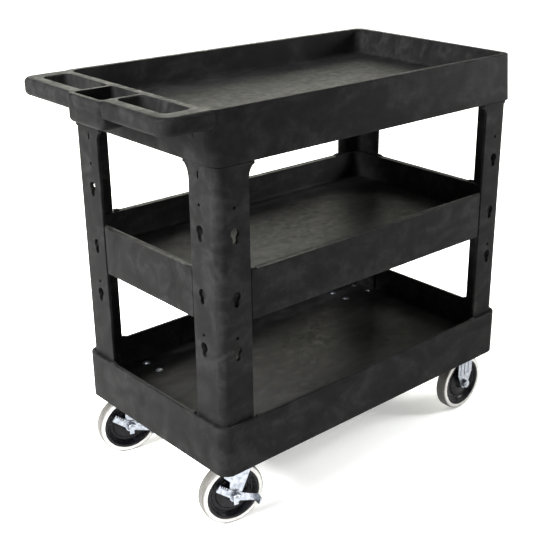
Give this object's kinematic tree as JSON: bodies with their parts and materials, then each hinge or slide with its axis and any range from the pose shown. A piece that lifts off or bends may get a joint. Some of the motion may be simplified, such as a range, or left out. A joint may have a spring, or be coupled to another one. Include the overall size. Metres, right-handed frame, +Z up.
{
  "type": "rolling utility cart",
  "caption": "Moulded plastic utility cart with lipped shelves on angle legs, a moulded handle with a bin, fixed casters at the nose and braked swivel casters at the handle.",
  "frame": {"origin": "on the floor, under the middle of the cart's overall box", "axes": "+X from the handle towards the nose, +Y to the left when pushing, +Z up"},
  "size_m": [0.9046, 0.464, 0.838],
  "materials": {
    "foam_moulded_plastic": "matte, slightly mottled",
    "zinc_plated_steel": "bright zinc",
    "black_wheel_plastic": "satin",
    "grey_rubber": "smooth"
  },
  "bodies": {
    "cart_frame": {"top_shelf": "foam_moulded_plastic", "middle_shelf": "foam_moulded_plastic", "bottom_shelf": "foam_moulded_plastic", "leg_handle_left": "foam_moulded_plastic", "leg_handle_right": "foam_moulded_plastic", "leg_nose_left": "foam_moulded_plastic", "leg_nose_right": "foam_moulded_plastic", "caster_bolts": "zinc_plated_steel", "caster_nuts": "zinc_plated_steel", "nose_fork_left": "zinc_plated_steel", "nose_axle_bolt_left": "zinc_plated_steel", "nose_axle_nut_left": "zinc_plated_steel", "swivel_plate_left": "zinc_plated_steel", "kingpin_left": "zinc_plated_steel", "nose_fork_right": "zinc_plated_steel", "nose_axle_bolt_right": "zinc_plated_steel", "nose_axle_nut_right": "zinc_plated_steel", "swivel_plate_right": "zinc_plated_steel", "kingpin_right": "zinc_plated_steel"},
    "swivel_left": {"swivel_fork_left": "zinc_plated_steel", "ball_race_left": "zinc_plated_steel", "swivel_axle_bolt_left": "zinc_plated_steel", "swivel_axle_nut_left": "zinc_plated_steel"},
    "swivel_wheel_left": {"swivel_wheel_core_left": "black_wheel_plastic", "swivel_wheel_tread_left": "grey_rubber", "swivel_wheel_bush_left": "zinc_plated_steel"},
    "brake_left": {"brake_lever_left": "zinc_plated_steel"},
    "nose_wheel_left": {"nose_wheel_core_left": "black_wheel_plastic", "nose_wheel_tread_left": "grey_rubber", "nose_wheel_bush_left": "zinc_plated_steel"},
    "swivel_right": {"swivel_fork_right": "zinc_plated_steel", "ball_race_right": "zinc_plated_steel", "swivel_axle_bolt_right": "zinc_plated_steel", "swivel_axle_nut_right": "zinc_plated_steel"},
    "swivel_wheel_right": {"swivel_wheel_core_right": "black_wheel_plastic", "swivel_wheel_tread_right": "grey_rubber", "swivel_wheel_bush_right": "zinc_plated_steel"},
    "brake_right": {"brake_lever_right": "zinc_plated_steel"},
    "nose_wheel_right": {"nose_wheel_core_right": "black_wheel_plastic", "nose_wheel_tread_right": "grey_rubber", "nose_wheel_bush_right": "zinc_plated_steel"}
  },
  "joints": [
    {"name": "caster_swivel_left", "type": "hinge", "parent": "cart_frame", "child": "swivel_left", "pos_m": [-0.26625, 0.18, 0.16], "axis": [0, 0, 1], "continuous": true},
    {"name": "swivel_wheel_spin_left", "type": "hinge", "parent": "swivel_left", "child": "swivel_wheel_left", "pos_m": [-0.29548, 0.18675, 0.066], "axis": [0.225, 0.9744, 0], "continuous": true},
    {"name": "brake_press_left", "type": "hinge", "parent": "swivel_left", "child": "brake_left", "pos_m": [-0.29548, 0.18675, 0.066], "axis": [0.225, 0.9744, 0], "range_deg": [0, 18]},
    {"name": "nose_wheel_spin_left", "type": "hinge", "parent": "cart_frame", "child": "nose_wheel_left", "pos_m": [0.38575, 0.183, 0.066], "axis": [0, 1, 0], "continuous": true},
    {"name": "caster_swivel_right", "type": "hinge", "parent": "cart_frame", "child": "swivel_right", "pos_m": [-0.26625, -0.18, 0.16], "axis": [0, 0, 1], "continuous": true},
    {"name": "swivel_wheel_spin_right", "type": "hinge", "parent": "swivel_right", "child": "swivel_wheel_right", "pos_m": [-0.29548, -0.17325, 0.066], "axis": [0.225, 0.9744, 0], "continuous": true},
    {"name": "brake_press_right", "type": "hinge", "parent": "swivel_right", "child": "brake_right", "pos_m": [-0.29548, -0.17325, 0.066], "axis": [0.225, 0.9744, 0], "range_deg": [0, 18]},
    {"name": "nose_wheel_spin_right", "type": "hinge", "parent": "cart_frame", "child": "nose_wheel_right", "pos_m": [0.38575, -0.183, 0.066], "axis": [0, 1, 0], "continuous": true}
  ]
}
